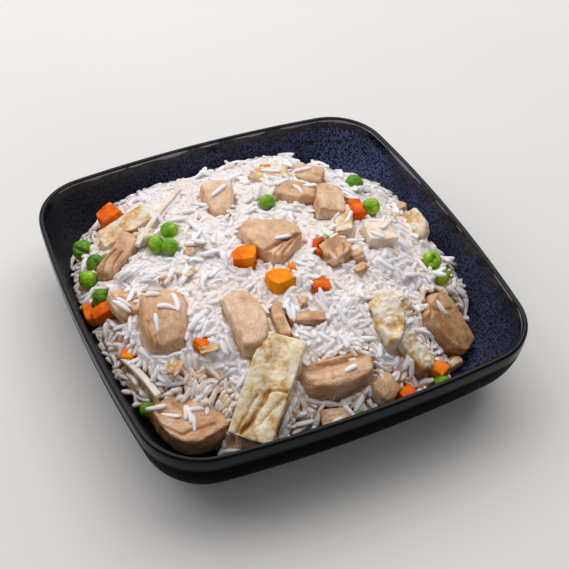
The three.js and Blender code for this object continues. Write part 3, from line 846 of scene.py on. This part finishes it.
def make_grains(name, grains, rings, sides, line, level):
    """One joined mesh of grains, each bent a little its own way."""
    points, faces = grain_template(rings, sides)
    grains = np.array(grains)
    count = len(grains)
    x, y, z, yaw, pitch, length, width = grains.T
    bend = rng.uniform(0, GRAIN_BEND, count)
    twist = rng.uniform(0, 2 * math.pi, count)
    flat = rng.uniform(*GRAIN_FLATNESS, count) * GRAIN_THICKNESS
    waist = rng.uniform(0, GRAIN_WAIST, count)[:, None]
    place = rng.uniform(0, 2 * math.pi, count)[:, None]
    local = np.repeat(points[None], count, axis=0)
    along = local[:, :, 0]
    swell = 1 + waist * np.cos(WAIST_TURN * along + place)
    px = along * (length / 2)[:, None]
    py = local[:, :, 1] * (width / 2)[:, None] * swell
    pz = local[:, :, 2] * (width / 2 * flat)[:, None] * swell
    bow = (bend * width)[:, None] * (1 - 2 * along**2)
    py = py + bow * np.cos(twist)[:, None]
    pz = pz + 0.5 * bow * np.sin(twist)[:, None]
    cp, sp = np.cos(pitch)[:, None], np.sin(pitch)[:, None]
    px, pz = px * cp - pz * sp, px * sp + pz * cp
    cy, sy = np.cos(yaw)[:, None], np.sin(yaw)[:, None]
    px, py = px * cy - py * sy, px * sy + py * cy
    vertices = np.stack([px + x[:, None], py + y[:, None], pz + z[:, None]], axis=2).reshape(-1, 3)
    bases = (np.arange(count) * len(points))[:, None, None]
    piece = new_piece(name, vertices, (faces[None] + bases).reshape(-1, 3))
    # Painted light and shade: grains on raised clumps get a lighter tone and those in the hollows
    # between them a darker one, on top of a random tone of their own.
    lift = clumped(x, y) / CLUMP_LIFT
    tone = rng.uniform(0, 1, count) + 0.5 * np.clip(lift, -1, 1)
    mark(piece, "tone", np.repeat(tone, len(points)))
    # Painted shade: how far below the local level each grain lies. The deeper a grain lies, the darker
    # and browner it is painted.
    over = level[cell_of(line, vertices[:, 1]), cell_of(line, vertices[:, 0])]
    mark(piece, "deep", np.clip((over - vertices[:, 2]) / DEEP_SPAN, -1, 1))
    return piece


def blurred(values, cells):
    """A moving mean along both axes, three times over, which is close to a round blur."""
    values = values.astype(float)
    kernel = np.ones(2 * cells + 1) / (2 * cells + 1)
    for _ in range(3):
        values = np.apply_along_axis(np.convolve, 0, values, kernel, "same")
        values = np.apply_along_axis(np.convolve, 1, values, kernel, "same")
    return values


def softened(values):
    """Each cell evened out with the ones beside it."""
    for axis in (0, 1):
        values = (np.roll(values, 1, axis) + 2 * values + np.roll(values, -1, axis)) / 4
    return values


def mean_surface(surface, mask, span):
    """The surface of the masked cells, evened out over a span. Far from them it is the surface."""
    cells = max(1, round(span / CELL / 3))
    weight = blurred(mask, cells)
    mean = blurred(np.where(mask, surface, 0), cells) / np.maximum(weight, 1e-6)
    return np.where(weight > 0.01, mean, surface)


def sampled(grid, line, places):
    """A grid's values at a crossing of other places, evened out between its own."""
    at = np.clip((places - line[0]) / CELL, 0, len(line) - 1.001)
    low = at.astype(int)
    part = at - low
    rows = grid[low] * (1 - part[:, None]) + grid[low + 1] * part[:, None]
    return rows[:, low] * (1 - part) + rows[:, low + 1] * part


def make_core(line, top, base, solid, depth):
    """The fused rice under the loose grains, as one closed solid on the dish's floor.

    Its top is fine and its underside coarse: one block of the underside is a square of fine cells.
    """
    blocks = int(2 * REACH / (CORE_STEP * CORE_BLOCK))
    size = blocks * CORE_BLOCK + 1
    places = -REACH + CORE_STEP * np.arange(size)
    base, depth = sampled(base, line, places), sampled(depth, line, places)
    top = np.maximum(sampled(top, line, places), base + LEAST_CORE)
    within = sampled(solid.astype(float), line, places) > 0.99
    x, y = np.meshgrid(places, places)
    upper = np.stack([x.ravel(), y.ravel(), top.ravel()], axis=1)
    lower = np.stack([x.ravel(), y.ravel(), base.ravel()], axis=1)
    offset = size * size
    steps = np.arange(CORE_BLOCK + 1)
    filled = np.zeros((blocks, blocks), dtype=bool)
    for j, i in product(range(blocks), repeat=2):
        block = within[j * CORE_BLOCK:(j + 1) * CORE_BLOCK + 1, i * CORE_BLOCK:(i + 1) * CORE_BLOCK + 1]
        filled[j, i] = block.all()
    faces = []
    for j, i in zip(*np.nonzero(filled)):
        corner = j * CORE_BLOCK * size + i * CORE_BLOCK
        for row, column in product(range(CORE_BLOCK), repeat=2):
            a = corner + row * size + column
            faces += [(a, a + 1, a + size + 1), (a, a + size + 1, a + size)]
        across, along = CORE_BLOCK, CORE_BLOCK * size
        a, b, c, d = corner, corner + across, corner + across + along, corner + along
        faces += [(offset + a, offset + c, offset + b), (offset + a, offset + d, offset + c)]
        sides = (
            (corner + steps, (-1, 0)), (b + steps * size, (0, 1)),
            (c - steps, (1, 0)), (d - steps * size, (0, -1)),
        )
        for edge, (dj, di) in sides:
            nj, ni = j + dj, i + di
            if 0 <= nj < blocks and 0 <= ni < blocks and filled[nj, ni]:
                continue
            faces.append((edge[0], offset + edge[0], offset + edge[-1]))
            faces += [(edge[n], offset + edge[-1], edge[n + 1]) for n in range(CORE_BLOCK)]
    faces = np.array(faces)
    used = np.unique(faces)
    renumber = np.zeros(2 * offset, dtype=int)
    renumber[used] = np.arange(len(used))
    piece = new_piece("rice_core", np.concatenate([upper, lower])[used], renumber[faces])
    # Painted shade: the fused rice is painted browner in its hollows and darker where it lies low.
    mark(piece, "deep", np.concatenate([depth.ravel(), np.ones(offset)])[used])
    low = np.clip((LOW_RICE - top) / LOW_FADE, 0, 1)
    mark(piece, "low", np.concatenate([low.ravel(), np.ones(offset)])[used])
    return piece


def clumped(x, y):
    """How far the clumps raise the heap at each place."""
    lift = WAVE_RISE * ripple(x, y, WAVE_SPAN, WAVE_SEED)
    for at_x, at_y in CLUMPS:
        away = (x - at_x * MM) ** 2 + (y - at_y * MM) ** 2
        lift = lift + CLUMP_LIFT * np.exp(-away / CLUMP_REACH**2)
    return lift


def make_rice(dish, toppings):
    """The fused rice, its grains and the crumbs on it."""
    names = sorted(toppings)
    line, floor_height, _ = top_surface([dish])
    _, height, who = top_surface([toppings[name] for name in names] + [dish])
    x, y = np.meshgrid(line, line)
    target = heap_top(x, y) + clumped(x, y) - TARGET_DROP
    target += BANK_RISE * blurred(who < len(names), BANK_CELLS)
    inside = (target > floor_height + THINNEST_RICE) & (floor_height < DISH_HEIGHT - RIM_CLEAR)
    inside &= np.maximum(np.abs(x), np.abs(y)) < DISH_HALF_WIDTH - RIM_WIDTH
    surface = np.maximum(height, np.where(inside, target - GRAIN_DEPTH, 0))
    flow = math.pi * ripple(x, y, FLOW_SPAN, FLOW_SEED)
    grains = pour(line, surface, target, inside, flow)
    rice_only = inside & (who == len(names))
    level = mean_surface(surface, rice_only, LEVEL_SPAN)
    under = np.minimum(height - FUSED_UNDER_TOPPING, level - FUSED_UNDER_LEVEL)
    fused = softened(softened(np.where(rice_only, surface, under)))
    upper = [g for g in grains if seen(g, line, surface)]
    clear = blurred(rice_only, CLEAR_CELLS) > CLEAR_SHARE
    clear &= blurred(rng.random(clear.shape), PATCH_CELLS) > PATCH_SHARE
    loose = scatter(line, surface, clear, LOOSE_GRAINS, LOOSE_LEAN, LOOSE_SINK)
    for name, count in GRAINS_ON.items():
        cells = (who == names.index(name)) & (surface == height)
        high = cells & (height > np.quantile(height[cells], TOPPING_LOW_SHARE))
        loose += scatter(line, surface, high, count, TOPPING_LEAN, TOPPING_SINK)
    base = floor_height + CORE_OFF_FLOOR
    core = np.minimum(fused - CORE_DEPTH, level + CORE_CREST)
    core = np.minimum(core, np.where(who == len(names), core, height - CORE_UNDER_TOPPING))
    solid = inside & (core > base + THINNEST_CORE)
    depth = np.clip((level - core) / DEEP_SPAN, -1, 1)
    near = [g for g in upper if g[1] < 0]
    far = [g for g in upper if g[1] >= 0]
    pieces = [
        make_core(line, core, base, solid, depth),
        make_grains("grains_near", near, NEAR_RINGS, NEAR_SIDES, line, level),
        make_grains("grains_far", far, FAR_RINGS, FAR_SIDES, line, level),
        make_grains("grains_loose", loose, LOOSE_RINGS, LOOSE_SIDES, line, level),
    ]
    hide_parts("rice_heap")
    ball = icosphere(BALL_DIVISIONS)
    bed = np.minimum(surface, level + CRUMB_CREST)
    crumbs = {kind: make_crumbs(kind, line, bed, ball, CRUMB_SEED) for kind in CRUMBS}
    return pieces, crumbs


def seen(grain, line, surface):
    """Whether any of a grain lies at the finished surface."""
    x, y, z, yaw, pitch, length, width = grain
    parts = np.array([-0.6, 0, 0.6]) * length / 2
    column = cell_of(line, x + parts * math.cos(yaw))
    row = cell_of(line, y + parts * math.sin(yaw))
    return bool((surface[row, column] - (z + parts * math.tan(pitch)) < SEEN_DEPTH).any())


def make_crumbs(kind, line, surface, ball, seed):
    """One piece of all the crumbs of a kind, each lying on what is under it."""
    points, faces = ball
    vertices, triangles = [], []
    for number, (x, y, *size) in enumerate(CRUMBS[kind]):
        turn = rng.uniform(0, math.pi)
        box = np.sign(points) * np.abs(points) ** CRUMB_ROUND
        torn = 1 + 0.4 * noise(points * 1.7 + 7 * number, seed) + 0.2 * noise(points * 4, seed + number)
        shape = box * torn[:, None] * np.array(size) / 2 * MM
        curl = 0.35 * MM * size[2] * ((points[:, 0] * 1.1) ** 2 - 0.4)
        shape[:, 2] += curl * math.sin(3.0 * number)
        shape = shape + 0.22 * MM * layered(shape, 1.3 * MM, seed + number)[:, None] * points
        c, s = math.cos(turn), math.sin(turn)
        shape = shape @ np.array([[c, s, 0], [-s, c, 0], [0, 0, 1]])
        column, row = (int(round((v * MM - line[0]) / CELL)) for v in (x, y))
        z = surface[row - 2:row + 3, column - 2:column + 3].mean()
        vertices.append(shape + np.array([x * MM, y * MM, z + size[2] * CRUMB_LIFT * MM]))
        triangles.append(faces + number * len(points))
    piece = new_piece(f"{kind}_crumbs", np.concatenate(vertices), np.concatenate(triangles))
    mark(piece, "relief", 0)
    mark(piece, "tone", CRUMB_TONE)
    mark(piece, "fibre", np.concatenate(vertices))
    return piece


# Materials. Colours are as they look on the screen, out of 255, and a noise's scale is to the metre.

def linear(colour):
    """A colour of the screen as light, with its opacity."""
    light = (((v / 255 + 0.055) / 1.055) ** 2.4 if v > 10 else v / 255 / 12.92 for v in colour)
    return (*light, 1)


class Paint:
    """One material's node tree, with a short call for each kind of node."""

    def __init__(self, name):
        self.material = bpy.data.materials.new(name)
        self.material.use_nodes = True
        self.nodes = self.material.node_tree.nodes
        self.links = self.material.node_tree.links
        self.shader = self.nodes["Principled BSDF"]

    def put(self, socket, value):
        if isinstance(value, bpy.types.NodeSocket):
            self.links.new(value, socket)
        else:
            socket.default_value = value

    def node(self, kind, settings=None, **values):
        made = self.nodes.new(kind)
        for key, value in (settings or {}).items():
            setattr(made, key, value)
        for key, value in values.items():
            self.put(made.inputs[key.replace("_", " ")], value)
        return made

    def attribute(self, name, output="Fac"):
        return self.node("ShaderNodeAttribute", {"attribute_name": name}).outputs[output]

    def place(self):
        return self.node("ShaderNodeTexCoord").outputs["Object"]

    def noise(self, scale, detail=2.0, roughness=0.5, place=None):
        return self.node(
            "ShaderNodeTexNoise", Vector=place or self.place(), Scale=scale, Detail=detail,
            Roughness=roughness,
        ).outputs["Fac"]

    def spots(self, scale):
        return self.node("ShaderNodeTexVoronoi", Vector=self.place(), Scale=scale).outputs["Distance"]

    def ramp(self, value, stops):
        made = self.node("ShaderNodeValToRGB", Fac=value)
        points = made.color_ramp.elements
        while len(points) < len(stops):
            points.new(0.5)
        for point, (at, colour) in zip(points, stops):
            point.position = at
            point.color = linear(colour)
        return made.outputs["Color"]

    def step(self, value, low, high):
        """Nothing below the low value, all above the high one."""
        return self.ramp(value, [(low, (0, 0, 0)), (high, (255, 255, 255))])

    def blend(self, part, first, second):
        made = self.node("ShaderNodeMix", {"data_type": "RGBA"})
        self.put(made.inputs["Factor"], part)
        colours = [socket for socket in made.inputs if socket.type == "RGBA"]
        for socket, value in zip(colours, (first, second)):
            self.put(socket, linear(value) if isinstance(value, tuple) else value)
        return next(out for out in made.outputs if out.type == "RGBA")

    def maths(self, operation, first, second, clamp=False):
        made = self.node("ShaderNodeMath", {"operation": operation, "use_clamp": clamp})
        self.put(made.inputs[0], first)
        self.put(made.inputs[1], second)
        return made.outputs[0]

    def sum(self, *terms, plus=None, clamp=False):
        """Adds (value or name of a mark, weight) pairs, and a constant if there is one."""
        total = None
        for value, weight in terms:
            value = self.attribute(value) if isinstance(value, str) else value
            scaled = self.maths("MULTIPLY", value, weight)
            total = scaled if total is None else self.maths("ADD", total, scaled)
        return total if plus is None else self.maths("ADD", total, plus, clamp)

    def bump(self, value, distance, strength):
        return self.node(
            "ShaderNodeBump", Height=value, Distance=distance, Strength=strength
        ).outputs["Normal"]

    def surface(self, soft=None, **values):
        """The finished material. Soft is how much light goes in, how deep, and how far each colour."""
        if soft:
            weight, scale, radius = soft
            values.update(Subsurface_Weight=weight, Subsurface_Scale=scale, Subsurface_Radius=radius)
        for key, value in values.items():
            self.put(self.shader.inputs[key.replace("_", " ")], value)
        return self.material


def glaze():
    """Near-black glaze with dark flecks. Inside it is painted a lighter bluish grey, most on the side
    that faces the key light: painted light and painted reflection of the lamps.
    """
    paint = Paint("speckled_glaze")
    inner = paint.attribute("inner")
    flecks = paint.sum((paint.noise(950, 1), 0.7), (paint.noise(2100, 1), 0.3))
    speckle = paint.step(paint.sum((flecks, 1.0), ("inner", 0.05), ("rim", -0.1)), 0.5, 0.6)
    # Painted light and painted reflection: the bluish grey inside, lighter on the side that faces the
    # key light.
    bluest = paint.ramp(paint.noise(45, 3), [(0.35, (52, 61, 94)), (0.7, (84, 98, 146))])
    lit_side = paint.blend(paint.attribute("painted_light_side"), (14, 14, 16), bluest)
    ground = paint.blend(inner, (6, 7, 10), lit_side)
    colour = paint.blend(speckle, (3, 3, 5), ground)
    # Paler grey patches along the inner edge of the rim.
    pale_lip_patches = paint.step(paint.sum(("lip", 0.6), (paint.noise(60, 3), 0.9)), 0.98, 1)
    height = paint.sum((speckle, 0.6), (paint.noise(420, 3), 0.8))
    strength = paint.sum(("inner", 0.4), ("rim", -0.3), plus=0.15, clamp=True)
    return paint.surface(
        Base_Color=paint.blend(pale_lip_patches, colour, (130, 128, 140)),
        Roughness=paint.sum((speckle, 0.24), (paint.noise(300, 2), 0.1), ("rim", -0.16), plus=0.3),
        Normal=paint.bump(height, 0.00012, strength),
        Specular_IOR_Level=paint.sum(("inner", 0.2), ("rim", 0.18), plus=0.01),
    )


def rice_grain():
    """Cooked grains with thin patches of sauce. They are painted darker and browner where they lie deep,
    as painted shade between the grains. Their tone is lighter on clumps and darker between them, as
    painted light and shade.
    """
    paint = Paint("rice_grain")
    # Painted shade: darker and browner where a grain lies deep.
    shade = paint.sum(
        ("tone", 0.24), (paint.noise(70), 0.3), ("deep", -0.22),
        (paint.noise(420), 0.12),
    )
    colour = paint.ramp(shade, [
        (0.0, (224, 180, 136)), (0.1, (239, 211, 184)), (0.24, (244, 232, 222)), (0.44, (244, 241, 244)),
    ])
    sauce = paint.step(paint.noise(52, 4, 0.6), 0.52, 0.68)
    paint.shader.subsurface_method = "BURLEY"
    return paint.surface(
        soft=(0.8, 0.0012, (1.0, 0.97, 0.94)), Roughness=0.3, Specular_IOR_Level=0.4,
        Base_Color=paint.blend(paint.sum((sauce, 0.4)), colour, (228, 196, 158)),
        Normal=paint.bump(paint.noise(620, 3), 0.0002, 0.8), Sheen_Weight=0.3, Sheen_Roughness=0.6,
    )


def rice_core():
    """The fused rice, painted brown in its hollows and darker where it lies low at the heap's edge:
    painted shade.
    """
    paint = Paint("packed_rice")
    # Painted shade: browner in the hollows and dark where the rice lies low.
    shade = paint.sum(
        (paint.noise(260, 3), 0.4), (paint.noise(60), 0.35), ("deep", -0.25),
        ("low", -0.42), plus=0.2,
    )
    colour = paint.ramp(shade, [
        (0.0, (84, 58, 38)), (0.2, (218, 172, 128)), (0.36, (240, 213, 186)), (0.48, (245, 236, 231)),
    ])
    paint.shader.subsurface_method = "BURLEY"
    return paint.surface(
        soft=(0.8, 0.0014, (1.0, 0.95, 0.9)), Base_Color=colour, Roughness=0.32,
        Normal=paint.bump(paint.noise(700, 3), 0.0002, 0.7), Sheen_Weight=0.35, Sheen_Roughness=0.5,
    )


def chicken():
    """Breast meat with strands along its fibres, and golden and browned patches. Its colour is painted
    darker in its creases and hollows and lighter on its lumps: painted shade and light.
    """
    paint = Paint("cooked_chicken")
    fibre = paint.attribute("fibre", "Vector")
    along = paint.node("ShaderNodeMapping", Vector=fibre, Scale=(0.4, 1, 1)).outputs["Vector"]
    strands = paint.noise(900, 3, 0.6, along)
    coarse = paint.noise(330, 2, 0.5, along)
    speckle = paint.noise(1300, 3, 0.7)
    # Painted shade and light: the relief darkens the meat in creases and hollows and lightens it on
    # lumps.
    shade = paint.sum(
        (speckle, 0.3), (paint.noise(120, 4, 0.6), 0.52), (strands, 0.14), (coarse, 0.06),
        ("relief", 0.18), ("pale", 0.1),
    )
    colour = paint.ramp(shade, [
        (0.2, (130, 78, 34)), (0.35, (188, 132, 80)), (0.48, (214, 167, 122)), (0.6, (234, 198, 162)),
        (0.76, (252, 230, 208)),
    ])
    golden = paint.step(paint.noise(70, 4, 0.65), 0.56, 0.72)
    flecks = paint.step(paint.noise(420, 3, 0.6), 0.6, 0.7)
    browned = paint.sum((golden, 0.4), (flecks, 0.3))
    grain = paint.sum((speckle, 0.7), (strands, 0.6), (coarse, 1.2))
    return paint.surface(
        soft=(0.4, 0.0018, (1.0, 0.7, 0.5)), Base_Color=paint.blend(browned, colour, (212, 144, 70)),
        Roughness=0.24, Normal=paint.bump(grain, 0.0005, 0.9), Specular_IOR_Level=0.7,
    )


def omelette(name, stops):
    paint = Paint(name)
    # Painted shade: the egg is painted browner in its hollows and paler on its bumps.
    patches = paint.sum(
        (paint.noise(130, 4, 0.65), 0.8), (paint.noise(900), 0.2), ("relief", -0.1)
    )
    grain = paint.sum((paint.noise(800, 3), 1.0), (paint.spots(700), 0.6))
    return paint.surface(
        soft=(0.35, 0.0018, (1.0, 0.78, 0.5)), Base_Color=paint.ramp(patches, stops), Roughness=0.42,
        Normal=paint.bump(grain, 0.00025, 0.7),
    )


def pea():
    paint = Paint("pea_skin")
    # Painted shade: the skin is painted darker in its dents, splits and wrinkle hollows.
    shade = paint.sum(
        (paint.noise(260, 4, 0.65), 0.8), ("tone", 0.14), ("relief", 0.3)
    )
    colour = paint.ramp(shade, [
        (0.0, (36, 76, 0)), (0.36, (104, 160, 0)), (0.52, (144, 192, 4)), (0.7, (194, 220, 76)),
    ])
    bumps = paint.sum((paint.noise(650, 3), 1.0), (paint.noise(1700), 0.4))
    return paint.surface(
        soft=(0.15, 0.0012, (0.8, 1.0, 0.15)), Base_Color=colour, Roughness=0.28,
        Normal=paint.bump(bumps, 0.0008, 1.0), Specular_IOR_Level=0.4,
    )


def carrot():
    paint = Paint("cooked_carrot")
    shade = paint.sum(
        (paint.noise(220, 3), 0.7), (paint.noise(1200), 0.2), ("tone", 0.1),
        ("pale", 0.16),
    )
    colour = paint.ramp(shade, [(0.2, (200, 56, 0)), (0.4, (234, 98, 0)), (0.62, (252, 150, 0))])
    return paint.surface(
        soft=(0.1, 0.0015, (1.0, 0.45, 0.08)), Base_Color=colour, Roughness=0.36,
        Normal=paint.bump(paint.noise(900, 3), 0.00035, 0.8), Specular_IOR_Level=0.1,
    )


def sprout():
    paint = Paint("bean_sprout")
    colour = paint.ramp(paint.noise(150, 3), [(0.3, (216, 198, 178)), (0.7, (238, 228, 218))])
    return paint.surface(
        soft=(0.5, 0.002, (1.0, 0.9, 0.8)), Base_Color=colour, Roughness=0.3,
        Normal=paint.bump(paint.noise(700), 0.0001, 0.5),
    )


FLAT_EGG = [
    (0.4, (248, 236, 210)), (0.5, (240, 218, 178)), (0.6, (216, 168, 94)), (0.72, (176, 112, 50)),
]
PALE_EGG_STOPS = [
    (0.38, (236, 224, 208)), (0.47, (230, 208, 178)), (0.54, (216, 174, 104)), (0.68, (192, 132, 58)),
]


def cover(piece, material):
    piece.data.materials.clear()
    piece.data.materials.append(material)
    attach(piece, "root")


# Stage

def make_floor():
    side = FLOOR_REACH
    corners = [(-side, -side, 0), (side, -side, 0), (side, side, 0), (-side, side, 0)]
    floor = new_piece("floor", corners, [(0, 1, 2, 3)])
    paint = Paint("pale_floor")
    colour = paint.ramp(paint.noise(3), [(0.3, (222, 220, 216)), (0.7, (228, 226, 222))])
    floor.data.materials.append(paint.surface(Base_Color=colour, Roughness=0.9))


def make_lights():
    world = bpy.data.worlds.new("studio")
    world.use_nodes = True
    background = world.node_tree.nodes["Background"].inputs
    background["Color"].default_value = (*WORLD_COLOUR, 1)
    background["Strength"].default_value = WORLD_STRENGTH
    bpy.context.scene.world = world
    for name, (place, size, power, colour) in LIGHTS.items():
        light = bpy.data.lights.new(name, "AREA")
        light.shape = "RECTANGLE"
        light.size, light.size_y = size
        light.energy = power
        light.color = colour
        lamp = bpy.data.objects.new(name, light)
        lamp.location = place
        toward = Vector(LIGHT_AIM) - Vector(place)
        lamp.rotation_euler = toward.to_track_quat("-Z", "Y").to_euler()
        bpy.context.scene.collection.objects.link(lamp)


def make_camera():
    camera = bpy.data.objects.new("camera", bpy.data.cameras.new("camera"))
    bpy.context.scene.collection.objects.link(camera)
    camera.data.lens = CAMERA_LENS
    camera.data.sensor_width = CAMERA_SENSOR
    camera.data.clip_start = 10 * MM
    level = Matrix.Rotation(CAMERA_TURN, 4, "Z") @ Matrix.Rotation(math.pi / 2 - CAMERA_DOWN, 4, "X")
    rolled = level @ Matrix.Rotation(CAMERA_ROLL, 4, "Z")
    camera.matrix_world = Matrix.Translation(CAMERA_AT) @ rolled
    bpy.context.scene.camera = camera
    bpy.context.scene.view_settings.view_transform = "Standard"


dish = make_dish()
toppings = make_toppings()
rice_pieces, crumbs = make_rice(dish, toppings)

cover(dish, glaze())
finishes = {
    "chicken": chicken(), "omelette": omelette("flat_omelette", FLAT_EGG), "carrot": carrot(),
    "pea": pea(), "sprout": sprout(),
}
pale_egg = omelette("scrambled_egg", PALE_EGG_STOPS)
for node, piece in toppings.items():
    cover(piece, pale_egg if node in PALE_EGG else finishes[node.split("_")[0]])
for kind, piece in crumbs.items():
    cover(piece, pale_egg if kind == "omelette" else finishes[kind])
cover(rice_pieces[0], rice_core())
grain_finish = rice_grain()
for piece in rice_pieces[1:]:
    cover(piece, grain_finish)

make_floor()
make_lights()
make_camera()
